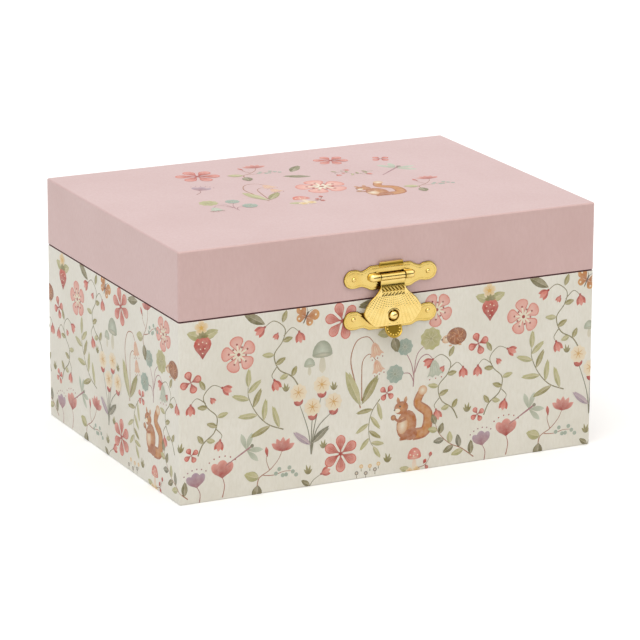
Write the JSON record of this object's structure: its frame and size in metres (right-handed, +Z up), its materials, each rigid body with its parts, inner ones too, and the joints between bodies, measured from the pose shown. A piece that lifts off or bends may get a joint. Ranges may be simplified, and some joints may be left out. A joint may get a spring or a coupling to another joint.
{
  "type": "ballerina jewellery box",
  "caption": "Wrapped-board jewellery box with hinged pink lid, brass hasp, mirror, ring rolls and a wind-up musical movement turning a spring-mounted dancer.",
  "frame": {"origin": "on the ground under the middle of the case, which is also the bottom centre of the whole box to within 1 mm (the clasp stands out 2 mm further than the hinges)", "axes": "+X to the right along the front, +Y to the back, +Z up; the hasp is on the -Y face"},
  "size_m": [0.18, 0.1382, 0.1],
  "materials": {
    "paper": "matt paper wrap printed with a flower meadow",
    "lid_paper": "satin dusty pink paper wrap",
    "velvet": "pink flock velvet",
    "ribbon": "satin ribbon",
    "brass": "polished stamped brass",
    "movement_brass": "machined brass",
    "steel": "plated steel",
    "bed": "cast zinc bed, satin",
    "nylon": "moulded nylon",
    "figure": "painted plastic",
    "tulle": "stiffened tulle",
    "mirror": "silvered glass"
  },
  "bodies": {
    "base": {"front_board": "paper", "back_board": "paper", "left_board": "paper", "right_board": "paper", "bottom_board": "paper", "long_divider": "velvet", "left_divider": "velvet", "right_divider": "velvet", "front_divider": "velvet", "left_pad": "velvet", "right_pad": "velvet", "front_pad": "velvet", "ring_cushion": "velvet", "movement_deck": "velvet", "stay_ribbon": "ribbon", "hinge_left_base_leaf": "brass", "hinge_right_base_leaf": "brass", "hinge_left_pin": "steel", "hinge_right_pin": "steel", "catch_plate": "brass", "catch_stud": "brass", "catch_nail_left": "brass", "catch_nail_right": "brass", "movement_bedplate": "bed", "barrel_bridge": "steel", "comb": "steel", "comb_screw_left": "steel", "comb_screw_right": "steel", "movement_screw_left": "steel", "movement_screw_right": "steel", "governor_frame": "steel"},
    "lid": {"lid_top_board": "lid_paper", "lid_front_rail": "lid_paper", "lid_back_rail": "lid_paper", "lid_left_rail": "lid_paper", "lid_right_rail": "lid_paper", "lid_lining": "velvet", "mirror": "mirror", "hinge_left_lid_leaf": "brass", "hinge_right_lid_leaf": "brass", "clasp_plate": "brass", "clasp_nail_left": "brass", "clasp_nail_right": "brass", "hasp_pin": "brass"},
    "hasp": {"hasp": "brass"},
    "barrel": {"spring_barrel": "movement_brass", "mainspring": "steel", "turntable": "nylon"},
    "key": {"winding_arbor": "steel", "winding_key": "steel"},
    "cylinder": {"cylinder_shaft": "steel", "pinned_cylinder": "movement_brass", "cylinder_gear": "movement_brass"},
    "governor": {"governor_wheel": "steel"},
    "air_brake": {"air_brake": "steel"},
    "stop": {"stop_rod": "steel"},
    "spring": {"ballerina_spring": "steel"},
    "dancer": {"figure": "figure", "tutu": "tulle"}
  },
  "joints": [
    {"name": "lid_hinge", "type": "hinge", "parent": "base", "child": "lid", "pos_m": [0, 0.06675, 0.0725], "axis": [-1, 0, 0], "range_deg": [0, 100]},
    {"name": "hasp_hinge", "type": "hinge", "parent": "lid", "child": "hasp", "pos_m": [-0.0007, -0.0669, 0.081], "axis": [-1, 0, 0], "range_deg": [0, 150]},
    {"name": "barrel_spin", "type": "hinge", "parent": "base", "child": "barrel", "pos_m": [0, 0.02, 0.025], "axis": [0, 0, 1], "continuous": true},
    {"name": "key_wind", "type": "hinge", "parent": "base", "child": "key", "pos_m": [0, 0.02, 0.012], "axis": [0, 0, 1], "continuous": true},
    {"name": "cylinder_spin", "type": "hinge", "parent": "base", "child": "cylinder", "pos_m": [0.0225, 0.02, 0.03517], "axis": [1, 0, 0], "continuous": true},
    {"name": "governor_spin", "type": "hinge", "parent": "base", "child": "governor", "pos_m": [0.0377, 0.01378, 0.02867], "axis": [1, 0, 0], "continuous": true},
    {"name": "air_brake_spin", "type": "hinge", "parent": "base", "child": "air_brake", "pos_m": [0.0392, 0.00748, 0.03], "axis": [0, 0, 1], "continuous": true},
    {"name": "stop_slide", "type": "slide", "parent": "base", "child": "stop", "axis": [0, 0, 1], "range_m": [0, 0.004]},
    {"name": "ballerina_lean", "type": "hinge", "parent": "base", "child": "spring", "pos_m": [0, 0.02, 0.047], "axis": [-1, 0, 0], "range_deg": [0, 50]},
    {"name": "ballerina_spin", "type": "hinge", "parent": "spring", "child": "dancer", "pos_m": [0, 0.02, 0.047], "axis": [0, -0.766, 0.6428], "continuous": true}
  ],
  "couplings": [
    {"joint": "cylinder_spin", "follows": "barrel_spin", "ratio": 3},
    {"joint": "governor_spin", "follows": "barrel_spin", "ratio": -6},
    {"joint": "air_brake_spin", "follows": "barrel_spin", "ratio": -48},
    {"joint": "ballerina_spin", "follows": "barrel_spin", "ratio": 1},
    {"joint": "stop_slide", "follows": "lid_hinge", "m_per_rad": 0.00229},
    {"joint": "ballerina_lean", "follows": "lid_hinge", "ratio": 0.5}
  ]
}
